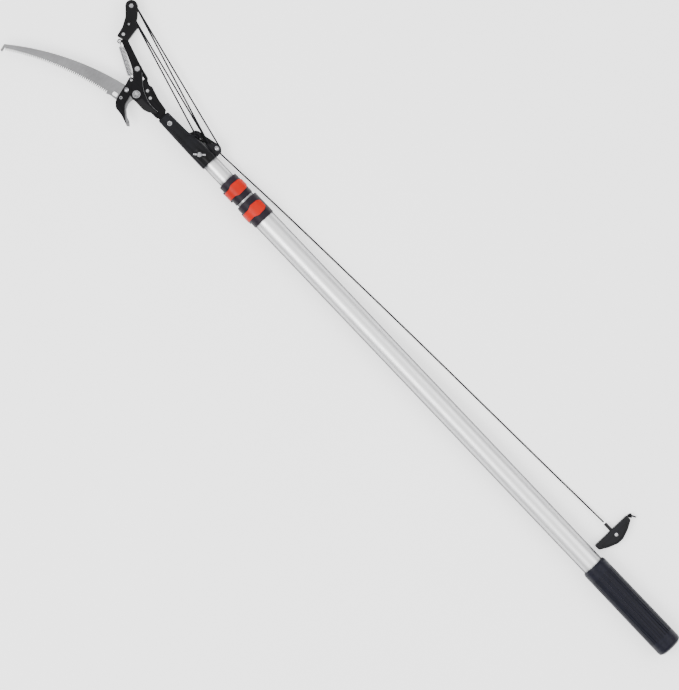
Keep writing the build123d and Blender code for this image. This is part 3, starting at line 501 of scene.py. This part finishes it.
pull = (EXIT_SHEAVE - HEAD_SHEAVE).normalized()
exit_in = math.atan2(pull.y, pull.x) + math.pi / 2
exit_start = on_circle(EXIT_SHEAVE, EXIT_PITCH, exit_in, BACK_Z)
turn_front = Vector((TURN_PIN.x, TURN_PIN.y, FRONT_Z))
turn_back = Vector((TURN_PIN.x, TURN_PIN.y, BACK_Z))
NEAR, FAR = -1, 1
STRANDS = [
    ("strand_knot", KNOT_END, NEAR, FRONT_Z),
    ("strand_front_return", turn_front, FAR, FRONT_Z),
    ("strand_back_run", turn_back, NEAR, BACK_Z),
    ("strand_exit", exit_start, FAR, BACK_Z),
]
# Each strand runs straight from its fixed end to the point where it leaves the head sheave,
# in its own mesh, carried by the head.
for name, fixed, side, z in STRANDS:
    angle = tangent_angle(HEAD_SHEAVE, fixed, HEAD_PITCH, side)
    moving = on_circle(HEAD_SHEAVE, HEAD_PITCH, angle, z)
    piece = rope(name, to_row(line(fixed, moving, ROPE_STEP_M * 1000)), "head")
    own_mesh(piece)
    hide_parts("tackle_rope")
for name, body, first, second, z in (
    ("wrap_front", "front_wheel", KNOT_END, turn_front, FRONT_Z),
    ("wrap_back", "back_wheel", turn_back, exit_start, BACK_Z),
):
    start = tangent_angle(HEAD_SHEAVE, first, HEAD_PITCH, NEAR)
    end = tangent_angle(HEAD_SHEAVE, second, HEAD_PITCH, FAR) - 2 * math.pi
    rope(name, to_row(arc(HEAD_SHEAVE, HEAD_PITCH, start, end, z)), body)

turn_way = TURN_PIN - HEAD_SHEAVE
turn_way.z = 0.0
turn_way.normalize()
pin_bend = (FRONT_Z - BACK_Z) / 2
middle = Vector((TURN_PIN.x, TURN_PIN.y, (FRONT_Z + BACK_Z) / 2))
PIN_STEPS = 24
pin_arc = []
for n in range(PIN_STEPS + 1):
    angle = math.pi * n / PIN_STEPS
    outward = turn_way * pin_bend * math.sin(angle)
    pin_arc.append(middle + outward + Vector((0, 0, pin_bend * math.cos(angle))))
rope("turn_at_pin", to_row(pin_arc), "head")
cord_way = (CORD_ROUTE[1] - CORD_ROUTE[0]).normalized()
FAIRLEAD_REACH = 4.0
fairlead = (CORD_ROUTE[0] - ORIGIN) * 1000 - cord_way * FAIRLEAD_REACH
exit_out = tangent_angle(EXIT_SHEAVE, fairlead, EXIT_PITCH, 1) % (2 * math.pi)
exit_arc = arc(EXIT_SHEAVE, EXIT_PITCH, exit_in, exit_out, BACK_Z, 12)
bend_start = exit_arc[-1]
bend_end = fairlead + cord_way * FAIRLEAD_REACH
BEND_STEPS = 16
bend = []
for n in range(BEND_STEPS + 1):
    t = n / BEND_STEPS
    bend.append(bend_start * (1 - t) ** 2 + fairlead * 2 * t * (1 - t) + bend_end * t**2)
rope("exit_bend", to_row(exit_arc[:-1] + bend), "head")


# ---- the cutting blade's ground edge, which catches the light ------------------------
BLADE_TOP = 6.45
EDGE_LINE_R = 0.28
EDGE_CORNERS = [
    (21.0, -21.6),
    (10.3, -12.6),
    (0.2, -4.6),
    (-13.9, 2.6),
    (-31.0, 6.8),
    (-46.0, 5.0),
]
edge_route = to_row([(x, y, BLADE_TOP) for x, y in EDGE_CORNERS])
edge_line = resample(smooth_route("edge_route", edge_route, 16), 0.001)
ground_edge = tube("ground_edge", edge_line, EDGE_LINE_R / 1000, 8, "counter_steel")
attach(ground_edge, "blade")


# ---- knots ---------------------------------------------------------------------------
KNOT_STEPS = 140
KNOT_CLOSED = 0.985
TAIL_STEPS = 24
TAIL_RISE = 1.2


def knot_line(size_mm, turn_deg, tail):
    """A trefoil tied in the rope, with a short tail leaving it."""
    points = []
    spin = Matrix.Rotation(math.radians(turn_deg), 3, "Z")
    for n in range(KNOT_STEPS):
        t = 2 * math.pi * n / (KNOT_STEPS - 1) * KNOT_CLOSED
        x = math.sin(t) + 2 * math.sin(2 * t)
        y = math.cos(t) - 2 * math.cos(2 * t)
        z = -math.sin(3 * t)
        flat = Vector((x * size_mm[0], y * size_mm[1], z * size_mm[2]))
        points.append(spin @ flat)
    last = points[-1]
    for n in range(1, TAIL_STEPS + 1):
        t = n / TAIL_STEPS
        points.append(last.lerp(Vector(tail), t) + Vector((0, 0, TAIL_RISE * math.sin(math.pi * t))))
    return points


adapter_knot = [KNOT + p for p in knot_line((2.5, 1.75, 1.9), -52.0, (11.0, 10.5, 7.6))]
piece = rope("knot_adapter", to_row(adapter_knot), "head")
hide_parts("adapter_knot")
anchor_loop = [
    KNOT + Vector((-4, -1, -2)),
    Vector((-126, -17.5, 0)),
    Vector((-127.2, -16.6, -6)),
    Vector((-127, -16.5, -10)),
]
anchor_line = smooth_route("anchor_route", to_row(anchor_loop), 12)
rope("knot_anchor", resample(anchor_line, ROPE_STEP_M), "head")

handle_mid = (HANDLE_LOW + HANDLE_HIGH) / 2
end_knot = Vector((handle_mid.x + 0.0005, HANDLE_LOW.y - 0.0035, handle_mid.z))
handle_knot = [end_knot + p / 1000 for p in knot_line((1.15, 1.0, 1.15), 20.0, (-9.0, -5.5, -4.6))]
piece = rope("knot_handle", handle_knot, "handle")
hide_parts("handle_knot")

# ---- return spring -------------------------------------------------------------------
EYE = from_joint("spring_turn")
EAR = Vector((23.5, 0.5, EYE.z))
HOOK = 9.0
TURNS = 22
COIL_R = 4.2
WIRE_R = 0.8
WIRE_STEP_M = 0.0006
COIL_STEPS = 26
spring_way = (EAR - EYE).normalized()
spring_side = Vector((-spring_way.y, spring_way.x, 0.0))
LIFT = Vector((0, 0, 1.0))
spring_length = (EAR - EYE).length


def hook(hole, way, top):
    """From the coil's axis to under the hole, up through it and back over the edge."""
    height = top + 1.2
    return [
        hole + way * 6.5,
        hole + way * 1.6,
        hole + way * 0.4 + LIFT * 0.4,
        hole + LIFT * 1.6,
        hole + LIFT * (height - 1.3),
        hole + LIFT * (height - 0.3) + way * 0.3,
        hole + LIFT * height + way * 1.4,
        hole + LIFT * (height - 0.3) + way * 3.8,
    ]


eye_hook = hook(EYE, spring_way, -4.0 - EYE.z)
ear_hook = hook(EAR, -spring_way, 3.4 - EYE.z)
coil = []
coil_points = TURNS * COIL_STEPS
for n in range(coil_points + 1):
    angle = 2 * math.pi * n / COIL_STEPS + math.pi / 2
    place = EYE + spring_way * (HOOK + (spring_length - 2 * HOOK) * n / coil_points)
    coil.append(place + (spring_side * math.cos(angle) + LIFT * math.sin(angle)) * COIL_R)
wire = list(reversed(eye_hook)) + coil + ear_hook
wire_line = resample(smooth_route("spring_route", to_row(wire), 3), WIRE_STEP_M)
spring = tube("return_spring", wire_line, WIRE_R / 1000, 10, "spring_steel")
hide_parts("spring_upper", "spring_lower")
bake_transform(spring)

# ---- floor and light -----------------------------------------------------------------
FLOOR_HALF = 12.0
CORNER_SIGNS = ((-1, -1), (1, -1), (1, 1), (-1, 1))
floor_corners = [(x * FLOOR_HALF, y * FLOOR_HALF, 0) for x, y in CORNER_SIGNS]
floor_mesh = bpy.data.meshes.new("floor")
floor_mesh.from_pydata(floor_corners, [], [(0, 1, 2, 3)])
floor = bpy.data.objects.new("floor", floor_mesh)
bpy.context.scene.collection.objects.link(floor)
floor_finish = Finish("floor_paper", roughness=0.9)
paper = floor_finish.noise((3, 3, 3), 2.0)
floor_finish.colour(paper, (0.93, 0.93, 0.93), (0.96, 0.96, 0.96))
floor_finish.shader.inputs["Emission Color"].default_value = (1.0, 1.0, 1.0, 1.0)
floor_finish.shader.inputs["Emission Strength"].default_value = 1.0
floor_mesh.materials.append(floor_finish.material)

# the studio is bright overhead and darker towards the horizon, which gives round metal its edges
SKY = [(0.0, (0.36, 0.36, 0.37)), (0.35, (0.46, 0.46, 0.47)), (0.85, (1.0, 1.0, 1.0))]
SKY_STRENGTH = 1.75
world = bpy.data.worlds.new("studio")
world.use_nodes = True
sky_nodes = world.node_tree.nodes
sky_coords = sky_nodes.new("ShaderNodeTexCoord")
sky_split = sky_nodes.new("ShaderNodeSeparateXYZ")
sky_ramp = sky_nodes.new("ShaderNodeValToRGB")
fill_ramp(sky_ramp, SKY)
world.node_tree.links.new(sky_coords.outputs["Generated"], sky_split.inputs["Vector"])
world.node_tree.links.new(sky_split.outputs["Z"], sky_ramp.inputs["Fac"])
world.node_tree.links.new(sky_ramp.outputs["Color"], sky_nodes["Background"].inputs["Color"])
sky_nodes["Background"].inputs["Strength"].default_value = SKY_STRENGTH
bpy.context.scene.world = world


def softbox(name, place, size, power):
    light = bpy.data.lights.new(name, "AREA")
    light.shape = "RECTANGLE"
    light.size, light.size_y = size
    light.energy = power
    lamp = bpy.data.objects.new(name, light)
    bpy.context.scene.collection.objects.link(lamp)
    lamp.location = place
    lamp.rotation_mode = "QUATERNION"
    lamp.rotation_quaternion = (Vector((0, 0, 0)) - Vector(place)).to_track_quat("-Z", "Y")


softbox("key", (0.6, 1.6, 2.6), (2.2, 1.4), 75.0)
softbox("fill", (-1.2, -1.8, 2.4), (2.4, 1.6), 35.0)
